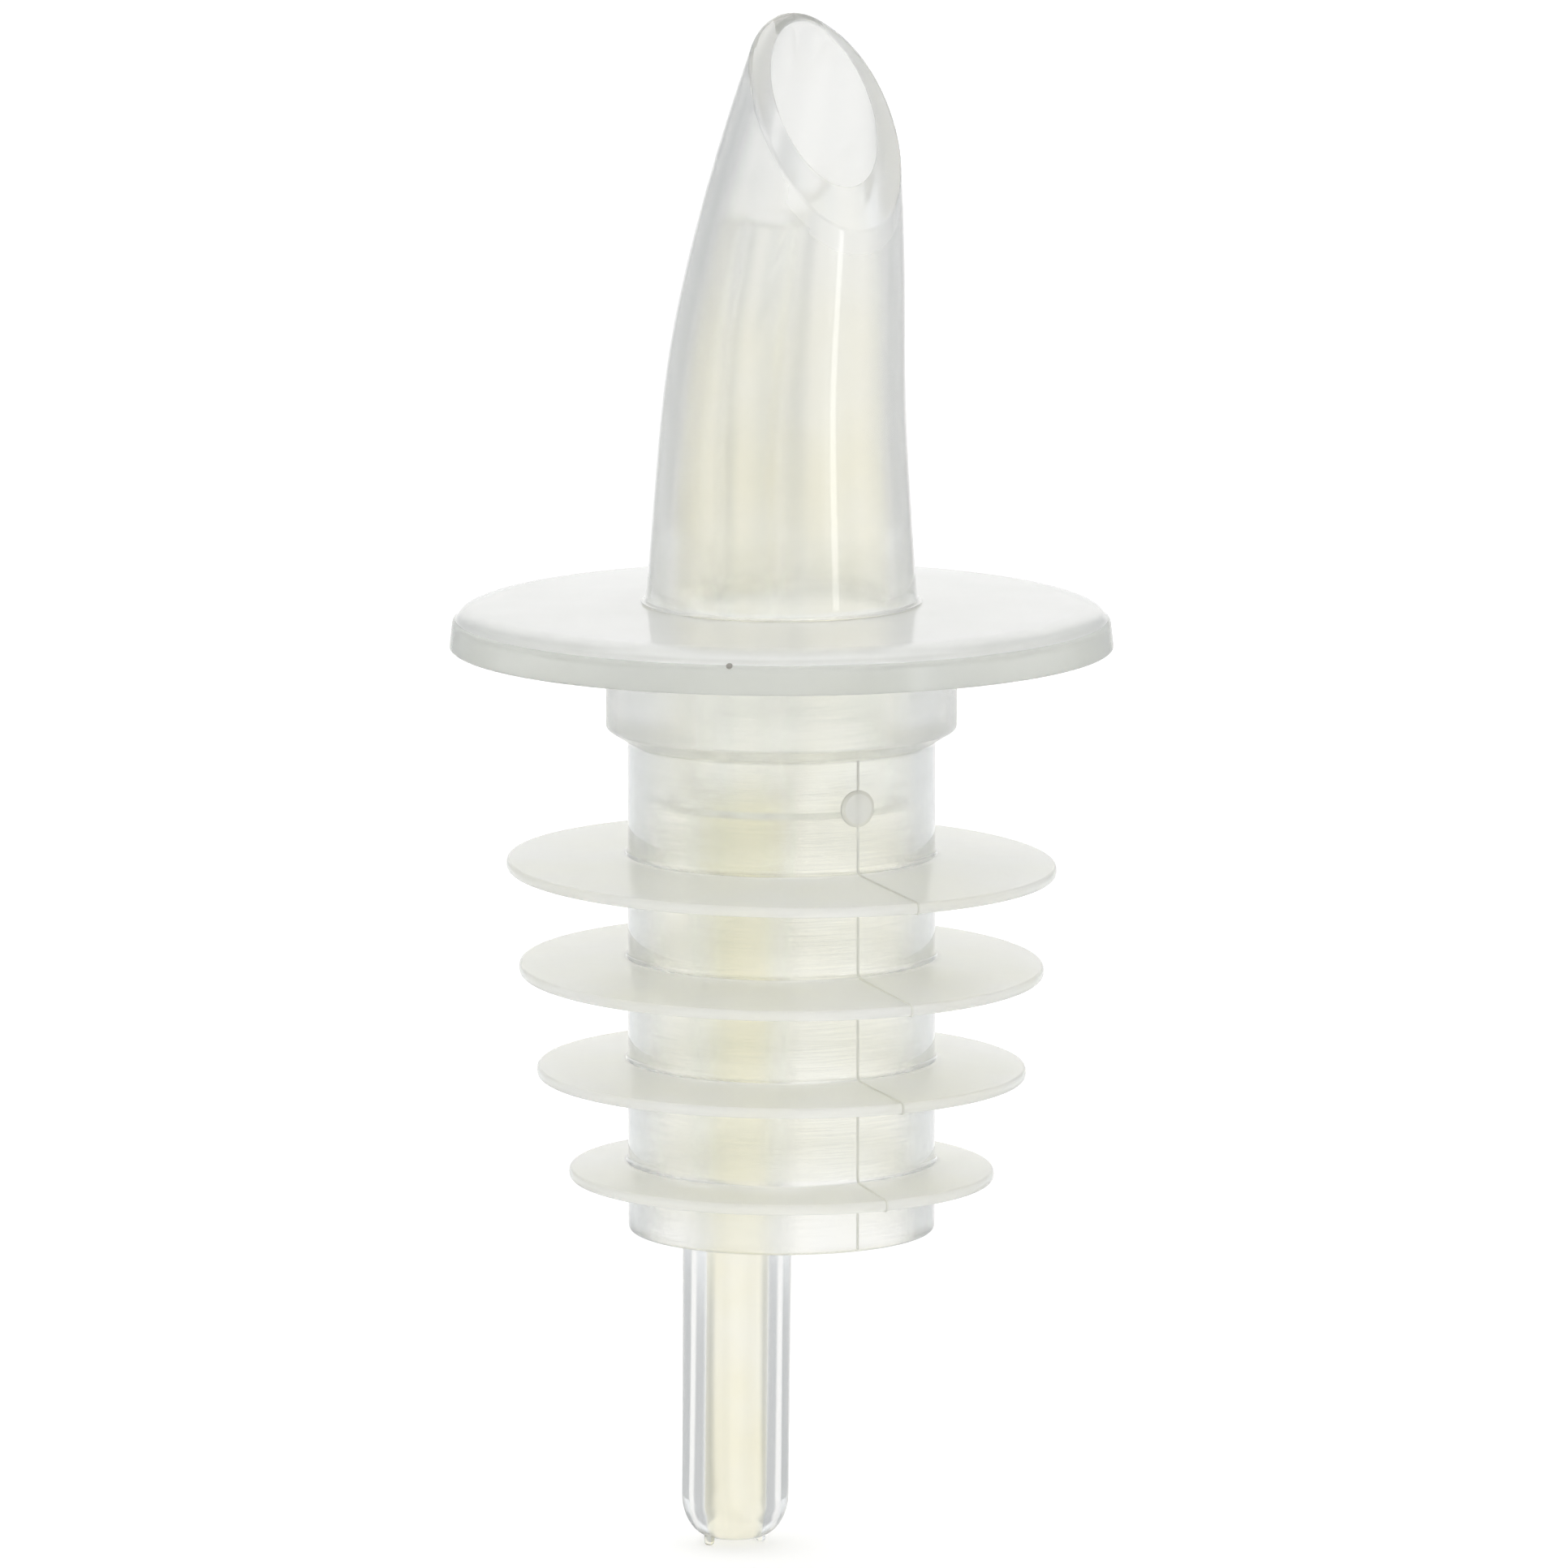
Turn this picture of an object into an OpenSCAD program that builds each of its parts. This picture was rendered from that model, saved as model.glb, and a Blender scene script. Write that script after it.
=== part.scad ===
// Free-flow pour spout for a liquor bottle: a beaked spout with an air channel along its back, a collar
// that caps the bottle's lip, a finned stopper that grips the neck, and a push-on air tube.
// Millimetres, +Z up. The origin is on the stopper's axis, at the level of the bottle's lip.
// The beak pours towards +X, and the air tube hangs behind the axis, towards -X.

/* [Spout] */
// Diameter of the beak where it stands on the collar
root_d = 13.15; // [12.8:0.05:13.4]
// Radius that the beak loses for each mm of height
root_taper = 0.07; // [0.05:0.01:0.08]
// Further loss of radius towards the tip, for each square mm of height above the bend
tip_taper = 0.005; // [0.0045:0.0001:0.0055]
// Height above the root where the beak starts to lean
bend_height = 11; // [10:0.5:12]
// Height over which the bend is spread
bend_soft = 3.8; // [2:0.1:5]
// Forward lean above the bend, for each mm of height
lean = 0.195; // [0.16:0.005:0.2]
// Angle of the mouth from level
mouth_angle = 61; // [58:0.5:63]
// Height of the mouth's outer edge above the root, at its middle
mouth_height = 24.5; // [24:0.1:25]
// Distance of the mouth's middle in front of the axis
mouth_reach = 3.2; // [3:0.1:3.6]
// Radius that rounds the mouth's outer edge
rim_round = 0.6; // [0.2:0.05:0.7]
// Height of the bore's edge above the mouth's outer edge
lip_rise = 0.25; // [0:0.05:0.5]
// Wall of the beak
beak_wall = 1.1; // [0.9:0.05:1.2]
// Diameter of the sleeve that plugs into the stopper
sleeve_d = 12.4; // [12.2:0.1:12.4]
// Length of the sleeve below the lip's level
sleeve_length = 8.5; // [6:0.5:10]

/* [Air way] */
// Distance of the air tube's axis behind the stopper's axis
air_offset = 3.3; // [3.2:0.05:3.4]
// Bore of the air channel inside the spout
air_channel_d = 2.8; // [2.4:0.1:3]
// Height above the root where the air channel opens into the beak
air_vent_height = 18.5; // [17:0.5:19]
// Outer diameter of the nipple that the air tube is pushed on
nipple_d = 4.16; // [4:0.02:4.2]
// Length of the nipple below the sleeve
nipple_length = 5; // [4:0.5:7]
// Outer diameter of the air tube at its upper end
air_tube_d = 5.5; // [5.2:0.1:5.6]
// Outer diameter of the air tube above its rounded tip
air_tube_tip_d = 5.2; // [4.8:0.1:5.3]
// Bore of the air tube
air_tube_bore_d = 3; // [2.6:0.1:3.2]
// Opening in the air tube's rounded tip
air_tip_hole_d = 2.2; // [2:0.1:2.8]
// Distance that the air tube reaches below the stopper
air_reach = 15.7; // [10:0.1:25]
// Length of the two moulding nubs under the air tube's tip
nub_length = 0.4; // [0.2:0.1:0.6]

/* [Collar] */
// Diameter of the collar at its lower edge
collar_d = 32; // [30:0.5:36]
// Depth of the skirt that hides the bottle's lip
skirt_depth = 1; // [0.8:0.1:2]
// Wall of the skirt at its lower edge
skirt_edge = 0.4; // [0.3:0.1:0.6]
// Width of the collar's rounded shoulder
shoulder_width = 1.7; // [1:0.1:2.5]
// Height of that shoulder
shoulder_height = 0.6; // [0.3:0.05:0.8]
// Height of the collar's top where the shoulder starts
top_height = 1.05; // [0.9:0.05:1.3]
// Height of the collar's crown, where the beak stands on it
crown_height = 1.15; // [1:0.05:1.4]

/* [Stopper] */
// Diameter of the hub under the collar
hub_d = 16.9; // [16.5:0.1:17.5]
// Distance of the hub's lower edge below the lip's level
hub_depth = 4.9; // [3.5:0.1:6]
// Outer diameter of the stopper's tube
tube_d = 14.85; // [14.5:0.05:15.2]
// Diameter of each fin, from the top one down
fin_d = [26.6, 25.4, 23.7, 20.6]; // [18:0.1:30]
// Distance of the top fin below the lip's level
first_fin = 11.7; // [10:0.1:13]
// Distance from one fin to the next
fin_pitch = 5; // [4.5:0.1:5.5]
// Thickness of a fin at its edge
fin_edge = 0.5; // [0.3:0.05:0.6]
// Further thickness of a fin at its root, on its upper side
fin_root = 0.35; // [0.2:0.05:1]
// Distance of the stopper's lower end below the lip's level
stopper_depth = 29.5; // [28.5:0.1:32]

/* [Hidden] */
$fn = 96;

// Gap between the sleeve and the holes that it turns and slides in, and between the nipple and its tube
sleeve_gap = 0.05;
nipple_gap = 0.02;
sleeve_r = sleeve_d / 2;
socket_r = sleeve_r + sleeve_gap;
sleeve_wall = 1;
sleeve_bore_r = sleeve_r - sleeve_wall;
sleeve_lead = 0.4;

// Foot of the beak: a small fillet that rests on the collar's crown
root_r = root_d / 2;
foot_spread = 0.2;
foot_r = root_r + foot_spread;
foot_edge = 0.1;
foot_rise = foot_edge + foot_spread;
foot_top = crown_height + foot_rise;
// The lofted beak starts a hair inside the turned foot
foot_step = 0.02;

// Lofts of the beak and its passages, and the part of the mouth's rim that its rounding may take
loft_top = 29.6;
loft_spare = 0.5;
beak_sides = 48;
beak_levels = 22;
rim_steps = 5;
rim_share = 0.8;
rim_spare = 0.3;
cut_steps = 24;
air_sides = 20;
air_levels = 14;

// Housing of the air channel along the passage's back, with its flanks as angles from the back
housing_wall = 0.8;
housing_r = air_channel_d / 2 + housing_wall;
flank_start = 43;
flank_end = 51;
vent_step = 0.2;
vent_rise = 2.4;
// The air channel leans more than the beak's middle, because it follows the back wall
air_lean = 1.5;

nipple_r = nipple_d / 2;
nipple_lead = 0.3;
tube_socket_r = nipple_r + nipple_gap;
tube_socket_depth = nipple_length + 0.4;
air_top = -sleeve_length;
air_tip = -stopper_depth - air_reach;
tip_round = 2.1;
tip_neck = 1.5;
nub_d = 0.5;
nub_ring = 1.35;
nub_sink = 0.3;
nub_angles = [76, 256];

collar_r = collar_d / 2;
hub_r = hub_d / 2;
recess_gap = 0.15;
recess_r = hub_r + recess_gap;
recess_top = 0.35;
seat_r = collar_r - 0.85;
skirt_draft = 0.15;
skirt_top = 0.3;
shoulder_inset = 0.4;
shoulder_start = 8;
shoulder_r = collar_r - shoulder_inset - shoulder_width;
shoulder_z = top_height - shoulder_height;
crown_flat_r = foot_r + 0.1;

tube_r = tube_d / 2;
hub_undercut = 0.62;
hub_edge = 0.2;
end_round = 0.3;
socket_lead = 0.3;

// Points on an arc of half-widths rx and ry about [x, y], from angle a0 to angle a1
function arc(x, y, rx, ry, a0, a1, steps) =
    [for (i = [0:steps]) let (a = a0 + (a1 - a0) * i / steps) [x + rx * cos(a), y + ry * sin(a)]];

function unit(v) = v / norm(v);

// A round curve from a to b inside the corner c, without its first point; weight is the sine of half the corner
function fillet(a, c, b, weight, steps) =
    [
        for (i = [1:steps])
            let (t = i / steps, u = 1 - t, w = 2 * weight * t * u)
            (a * u * u + c * w + b * t * t) / (u * u + w + t * t)
    ];

// A ramp that is 0 far below x = 0 and rises by 1 for each mm far above it
function soft_ramp(x) = (sqrt(x * x + bend_soft * bend_soft) + x) / 2;

// 0 below a, 1 above b, with a smooth rise between
function smooth(a, b, x) = let (t = min(1, max(0, (x - a) / (b - a)))) t * t * (3 - 2 * t);

// The beak's middle line and radii at height h above the root
function spine(h) = lean * (soft_ramp(max(h, 0) - bend_height) - soft_ramp(-bend_height));
function beak_r(h) = root_r - root_taper * h - tip_taper * pow(max(0, h - bend_height), 2);
function bore_r(h) = min(sleeve_bore_r, beak_r(max(h, 0)) - beak_wall);
function air_x(h) = air_lean * spine(h) - air_offset;

// Level i of n between heights low and high
function level(i, n, low, high) = low + (high - low) * i / n;

// A level ring about [x, 0] at height h, with radii given for each of its points
function ring(x, h, radii) =
    let (n = len(radii))
    [for (i = [0:n - 1]) [x + radii[i] * cos(360 * i / n), radii[i] * sin(360 * i / n), crown_height + h]];

function round_ring(x, h, r, n) = ring(x, h, [for (i = [0:n - 1]) r]);

// Point on the beak's wall at height h and angle a, a distance inside its outer face
function wall_point(h, a, inside) =
    let (r = beak_r(h) - inside)
    [spine(h) + r * cos(a), r * sin(a), crown_height + h];

// Height where the wall at angle a meets the mouth's plane, found by halving
function mouth_level(a, inside, rise, low = bend_height, high = loft_top, steps = cut_steps) =
    let (
        h = (low + high) / 2,
        ahead = (wall_point(h, a, inside).x - mouth_reach) * sin(mouth_angle),
        above = (h - mouth_height - rise) * cos(mouth_angle)
    )
    steps == 0 ? h
    : ahead + above > 0 ? mouth_level(a, inside, rise, low, h, steps - 1)
    : mouth_level(a, inside, rise, h, high, steps - 1);

// The beak's outline at angle a: up the outer face, round the rim and across it to inside the bore
function beak_outline(a) =
    let (
        edge = mouth_level(a, foot_step, 0),
        corner = wall_point(edge, a, foot_step),
        inner = wall_point(mouth_level(a, beak_wall, lip_rise), a, beak_wall),
        across = unit(inner - corner),
        down = unit(wall_point(edge - rim_round, a, foot_step) - corner),
        half = acos(across * down) / 2,
        reach = min(rim_round / tan(half), rim_share * norm(inner - corner)),
        top = edge + down.z * reach
    )
    concat(
        [for (i = [0:beak_levels]) wall_point(level(i, beak_levels, foot_rise, top), a, foot_step)],
        fillet(wall_point(top, a, foot_step), corner, corner + across * reach, sin(half), rim_steps),
        [inner + across * rim_spare]
    );

// Radius of the pour passage at angle a: round, but for the housing of the air channel at its back
function passage_radius(h, a, walled) =
    let (
        back = abs(180 - a),
        middle = spine(h) - air_x(h),
        face = middle * cos(back) - sqrt(max(0, pow(housing_r, 2) - pow(middle * sin(back), 2))),
        share = walled ? 1 - smooth(flank_start, flank_end, back) : 0
    )
    bore_r(h) * (1 - share) + face * share;

function passage_ring(h, walled) =
    ring(spine(h), h, [for (i = [0:beak_sides - 1]) passage_radius(h, 360 * i / beak_sides, walled)]);

// A closed solid through rings that all have the same number of points
module loft(rings) {
    n = len(rings[0]);
    last = len(rings) - 1;
    sides = [
        for (k = [0:last - 1], i = [0:n - 1])
            let (a = k * n + i, b = k * n + (i + 1) % n)
            each [[a, a + n, b], [b, a + n, b + n]]
    ];
    lower_cap = [for (i = [0:n - 1]) i];
    upper_cap = [for (i = [0:n - 1]) last * n + n - 1 - i];
    polyhedron([for (r = rings) each r], concat([lower_cap], sides, [upper_cap]));
}

module beak_body() {
    outlines = [for (i = [0:beak_sides - 1]) beak_outline(360 * i / beak_sides)];
    loft([for (k = [0:len(outlines[0]) - 1]) [for (line = outlines) line[k]]]);
}

// Sleeve and foot, solid before the passages are cut
module sleeve_and_foot() {
    foot = arc(foot_r, foot_top, foot_spread, foot_spread, 265, 180, 6);
    rotate_extrude()
        polygon(concat(
            [[0, -sleeve_length], [sleeve_r - sleeve_lead, -sleeve_length], [sleeve_r, sleeve_lead - sleeve_length]],
            [[sleeve_r, crown_height], [foot_r, crown_height], [foot_r, crown_height + foot_edge]],
            foot,
            [[0, foot_top]]
        ));
}

module nipple() {
    translate([-air_offset, 0, air_top - nipple_length])
        rotate_extrude()
            polygon([
                [0, 0],
                [nipple_r - nipple_lead, 0],
                [nipple_r, nipple_lead],
                [nipple_r, nipple_length + loft_spare],
                [0, nipple_length + loft_spare]
            ]);
}

// Space that the drink runs through, from below the sleeve to above the mouth
module pour_passage() {
    low = -sleeve_length - crown_height - loft_spare;
    vent = air_vent_height;
    loft(concat(
        [for (i = [0:beak_levels]) passage_ring(level(i, beak_levels, low, vent - vent_step), true)],
        [for (i = [0:air_levels]) passage_ring(level(i, air_levels, vent + vent_step, loft_top + loft_spare), false)]
    ));
}

// Space that the air comes in by, from below the nipple to where it opens above its housing
module air_channel() {
    low = air_top - nipple_length - crown_height - loft_spare;
    high = air_vent_height + vent_rise;
    loft([
        for (i = [0:air_levels])
            let (h = level(i, air_levels, low, high))
            round_ring(air_x(h), h, air_channel_d / 2, air_sides)
    ]);
}

module spout() {
    color([0.9, 0.91, 0.87])
        difference() {
            union() {
                sleeve_and_foot();
                beak_body();
                nipple();
            }
            pour_passage();
            air_channel();
        }
}

module collar() {
    shoulder = arc(shoulder_r, shoulder_z, shoulder_width, shoulder_height, shoulder_start, 90, 10);
    color([0.87, 0.89, 0.85])
        rotate_extrude()
            polygon(concat(
                [[socket_r, recess_top], [recess_r, recess_top], [recess_r, 0], [seat_r, 0]],
                [[collar_r - skirt_edge, -skirt_depth], [collar_r, -skirt_depth]],
                [[collar_r - skirt_draft, skirt_top]],
                shoulder,
                [[crown_flat_r, crown_height], [socket_r, crown_height]]
            ));
}

// One fin's outline, from its root's upper side round its edge to its root's lower side
function fin_outline(i) =
    let (z = -first_fin - i * fin_pitch, r = fin_d[i] / 2, half = fin_edge / 2)
    [[tube_r, z + half + fin_root], [r - half, z + half], [r, z], [r - half, z - half], [tube_r, z - half]];

module stopper() {
    outer = concat(
        [[hub_r - hub_edge, recess_top], [hub_r, recess_top - hub_edge], [hub_r, -hub_depth]],
        [[tube_r, -hub_depth - hub_undercut]],
        [for (i = [0:len(fin_d) - 1]) each fin_outline(i)],
        arc(tube_r - end_round, end_round - stopper_depth, end_round, end_round, 0, -90, 4)
    );
    color([0.88, 0.89, 0.85])
        rotate_extrude()
            polygon(concat(
                [[socket_r, -stopper_depth], [socket_r, recess_top - socket_lead]],
                [[socket_r + socket_lead, recess_top]],
                outer
            ));
}

// The air tube, turned about its own axis
module turned_tube() {
    tip_r = air_tube_tip_d / 2;
    hole_r = air_tip_hole_d / 2;
    bore = air_tube_bore_d / 2;
    socket_end = air_top - tube_socket_depth;
    bullet = [
        for (a = [0:15:90])
            [hole_r + (tip_r - hole_r) * cos(a), air_tip + tip_round * (1 - sin(a))]
    ];
    rotate_extrude()
        polygon(concat(
            [[tube_socket_r, socket_end], [tube_socket_r, air_top], [air_tube_d / 2, air_top]],
            bullet,
            [[bore, air_tip + tip_neck], [bore, socket_end]]
        ));
}

module air_tube() {
    color([0.9, 0.91, 0.88])
        translate([-air_offset, 0, 0]) {
            turned_tube();
            for (a = nub_angles)
                translate([nub_ring * cos(a), nub_ring * sin(a), air_tip - nub_length])
                    cylinder(h = nub_length + nub_sink, d = nub_d);
        }
}

spout();
collar();
stopper();
air_tube();
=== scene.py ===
"""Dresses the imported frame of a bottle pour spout: its moulded pieces, their plastics and the stage."""
from math import atan2, cos, hypot, pi, radians, sin, sqrt, tan, tau

import bmesh
import bpy
from bpy.props import FloatProperty, FloatVectorProperty, PointerProperty
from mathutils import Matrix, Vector


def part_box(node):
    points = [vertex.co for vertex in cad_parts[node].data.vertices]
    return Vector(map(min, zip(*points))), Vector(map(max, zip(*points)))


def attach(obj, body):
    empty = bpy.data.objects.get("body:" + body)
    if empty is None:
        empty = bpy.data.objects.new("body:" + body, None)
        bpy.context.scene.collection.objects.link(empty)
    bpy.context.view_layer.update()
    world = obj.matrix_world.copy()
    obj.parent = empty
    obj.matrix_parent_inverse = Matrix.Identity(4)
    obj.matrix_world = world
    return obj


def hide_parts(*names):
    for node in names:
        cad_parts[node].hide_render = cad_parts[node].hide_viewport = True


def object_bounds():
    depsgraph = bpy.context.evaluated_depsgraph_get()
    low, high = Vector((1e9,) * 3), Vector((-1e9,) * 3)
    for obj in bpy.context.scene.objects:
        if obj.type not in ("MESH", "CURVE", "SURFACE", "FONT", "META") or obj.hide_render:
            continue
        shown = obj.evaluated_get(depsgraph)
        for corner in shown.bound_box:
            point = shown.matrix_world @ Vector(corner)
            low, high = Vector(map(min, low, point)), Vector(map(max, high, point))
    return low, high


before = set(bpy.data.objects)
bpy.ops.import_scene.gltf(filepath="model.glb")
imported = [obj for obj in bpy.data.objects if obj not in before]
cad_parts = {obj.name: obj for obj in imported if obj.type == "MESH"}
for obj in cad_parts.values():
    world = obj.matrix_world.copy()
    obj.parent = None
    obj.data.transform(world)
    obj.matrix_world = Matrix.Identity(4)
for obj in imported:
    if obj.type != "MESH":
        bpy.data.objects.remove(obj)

bl_info = {
    "name": "Pour Spout Dresser",
    "version": (1, 0, 0),
    "blender": (4, 5, 0),
    "location": "View3D > Sidebar > Pour Spout",
    "description": "Builds the moulded pieces of a bottle pour spout and the stage they are seen on",
    "category": "Object",
}

MM = 0.001
CAD_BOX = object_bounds()
COLLAR_LOW, COLLAR_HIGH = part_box("collar")
STOPPER_LOW, STOPPER_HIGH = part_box("stopper")
TUBE_LOW, TUBE_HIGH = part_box("air_tube")

# A hair of air between pieces that rest on each other, so that their faces never coincide
CONTACT_GAP = 0.02 * MM
CROWN = COLLAR_HIGH.z
SLEEVE_R = 6.2 * MM
SOCKET_R = 6.25 * MM
NIPPLE_R = 2.08 * MM
TUBE_SOCKET_R = 2.1 * MM
MERGE_DISTANCE = 1e-7
SMOOTH_ANGLE = radians(40)
# Largest shares of an edge that the rounding of a corner, and the points that hold it, may take
CORNER_SHARE = 0.45
HOLD_SHARE = 0.04
SEAM_SIDES = 6
# Roundings of corners, from the crispest to the softest
CRISP_ROUND = 0.05 * MM
HOLE_ROUND = 0.06 * MM
EDGE_ROUND = 0.08 * MM
SEAT_ROUND = 0.1 * MM
HUB_ROUND = 0.12 * MM
DRAFT_ROUND = 0.15 * MM
TUBE_ROUND = 0.2 * MM
ROOT_ROUND = 0.3 * MM

# Patterns of the moulded surface: their noise scales, how two of them are stretched, and their strength
CLOUD_SCALE = 200
CLOUD_EDGES = (0.35, 0.65)
GLOSS_SCALE = 600
GLOSS_SPREAD = 0.1
GRAIN_SCALE = 1800
MARK_SCALE = 2500
MARK_STRETCH = (1, 1, 0.04)
RING_SCALE = 30000
RING_STRETCH = (0.004, 0.004, 1)
BUMP_STRENGTH = 0.5
BUMP_HEIGHT = 0.004 * MM
# Direction, start and end of the change to another tint: none, and the painted shade that greys the beak
# towards one side and up
NO_FADE = ((0, 0, 0), 1, 2)
PAINTED_SHADE_SIDE = ((-0.602, -0.799, 0.35), 7 * MM, 11 * MM)


def size(label, text, default):
    """A length that a user may change."""
    return FloatProperty(name=label, description=text, default=default, min=0, unit="LENGTH", precision=5)


def share(label, text, default):
    """A number from 0 to 1 that a user may change."""
    return FloatProperty(name=label, description=text, default=default, min=0, max=1, subtype="FACTOR")


def number(label, text, default):
    """A plain number that a user may change."""
    return FloatProperty(name=label, description=text, default=default, precision=4)


def angle(label, text, degrees):
    """An angle that a user may change."""
    return FloatProperty(name=label, description=text, default=radians(degrees), subtype="ANGLE")


def tint(label, part, default):
    """The colour of a part, which a user may change."""
    return FloatVectorProperty(name=label + " tint", description="Colour of " + part, default=default,
                               size=3, min=0, max=1, subtype="COLOR")


def clear(label, part, default):
    """How clear a part is, which a user may change."""
    return share(label + " clearness", "Share of light that goes through " + part, default)


def rough(label, part, default):
    """How rough a part is, which a user may change."""
    return share(label + " roughness", "Roughness of " + part, default)


class SpoutSizes(bpy.types.PropertyGroup):
    """Sizes of the beak, its mouth, its sleeve and its air channel."""

    root_d: size("Root diameter", "Diameter of the beak where it stands on the collar", 13.15 * MM)
    root_taper: number("Root taper", "Radius that the beak loses for each unit of height", 0.07)
    tip_taper: number("Tip taper", "Further loss of radius above the bend, per metre of height squared", 5)
    bend_height: size("Bend height", "Height above the root where the beak starts to lean", 11 * MM)
    bend_soft: size("Bend spread", "Height over which the bend is spread", 3.8 * MM)
    lean: number("Lean", "Forward lean above the bend for each unit of height", 0.195)
    mouth_angle: angle("Mouth angle", "Angle of the mouth from level", 61)
    mouth_height: size("Mouth height", "Height of the middle of the mouth above the root", 24.5 * MM)
    mouth_reach: size("Mouth reach", "Distance of the mouth's middle in front of the axis", 3.2 * MM)
    rim_round: size("Rim rounding", "Radius that rounds the mouth's outer edge", 0.6 * MM)
    lip_rise: size("Lip rise", "Height of the bore's edge above the mouth's outer edge", 0.25 * MM)
    bore_round: size("Bore rounding", "Reach of the rounding of the bore's edge", 0.08 * MM)
    beak_wall: size("Beak wall", "Wall of the beak", 1.1 * MM)
    air_offset: size("Air offset", "Air channel's distance behind the axis", -(TUBE_LOW.x + TUBE_HIGH.x) / 2)
    air_bore_d: size("Air bore", "Bore of the air channel", 2.8 * MM)
    air_vent: size("Air vent height", "Height above the root where the air channel opens", 18.5 * MM)
    partition: size("Partition", "Wall between the air channel and the pour passage", 0.8 * MM)


class CollarSizes(bpy.types.PropertyGroup):
    """Sizes of the collar that caps the bottle's lip."""

    rim_r: size("Rim radius", "Radius of the collar at its lower edge", COLLAR_HIGH.x)
    skirt: size("Skirt depth", "Depth of the skirt below the lip's level", -COLLAR_LOW.z)
    skirt_edge: size("Skirt edge", "Wall of the skirt at its lower edge", 0.4 * MM)
    shoulder_width: size("Shoulder width", "Width of the rounded shoulder", 1.7 * MM)
    shoulder_height: size("Shoulder height", "Height of the rounded shoulder", 0.6 * MM)
    top: size("Top height", "Height of the collar's top where the shoulder starts", 1.05 * MM)
    crown: size("Crown height", "Height of the crown that the beak stands on", COLLAR_HIGH.z)


class StopperSizes(bpy.types.PropertyGroup):
    """Sizes of the finned stopper."""

    hub_r: size("Hub radius", "Radius of the hub under the collar", 8.45 * MM)
    hub_depth: size("Hub depth", "Distance of the hub's lower edge below the lip's level", 4.9 * MM)
    tube_r: size("Tube radius", "Radius of the stopper's tube", 7.425 * MM)
    first_fin: size("First fin", "Distance of the top fin below the lip's level", 11.7 * MM)
    fin_pitch: size("Fin pitch", "Distance from one fin to the next", 5 * MM)
    fin_edge: size("Fin edge", "Thickness of a fin at its edge", 0.5 * MM)
    fin_root: size("Fin root", "Further thickness of a fin at its root", 0.35 * MM)
    seam_angle: angle("Seam angle", "Direction of the mould's parting line", -7.5)
    seam_width: size("Seam width", "Width of the parting line's ridge", 0.14 * MM)
    gate_d: size("Gate diameter", "Diameter of the gate's mark", 1.8 * MM)
    gate_depth: size("Gate depth", "Distance of the gate's mark below the lip's level", 7.9 * MM)


class AirTubeSizes(bpy.types.PropertyGroup):
    """Sizes of the push-on air tube."""

    top_r: size("Top radius", "Outer radius at the upper end", (TUBE_HIGH.x - TUBE_LOW.x) / 2)
    tip_r: size("Tip radius", "Outer radius above the rounded tip", 2.6 * MM)
    bore_r: size("Bore radius", "Radius of the bore", 1.5 * MM)
    hole_r: size("Tip hole radius", "Radius of the opening in the tip", 1.1 * MM)
    tip_round: size("Tip rounding", "Height of the rounded tip", 2.1 * MM)
    socket_depth: size("Socket depth", "Depth of the wider bore that takes the nipple", 5.4 * MM)
    nub_length: size("Nub length", "Length of the two moulding nubs under the tip", 0.4 * MM)
    lean: angle("Lean", "Angle at which the tube hangs from upright below the nipple", 0.52)
    lean_way: angle("Lean direction", "Direction round the axis that the tube leans in", 233)


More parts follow.
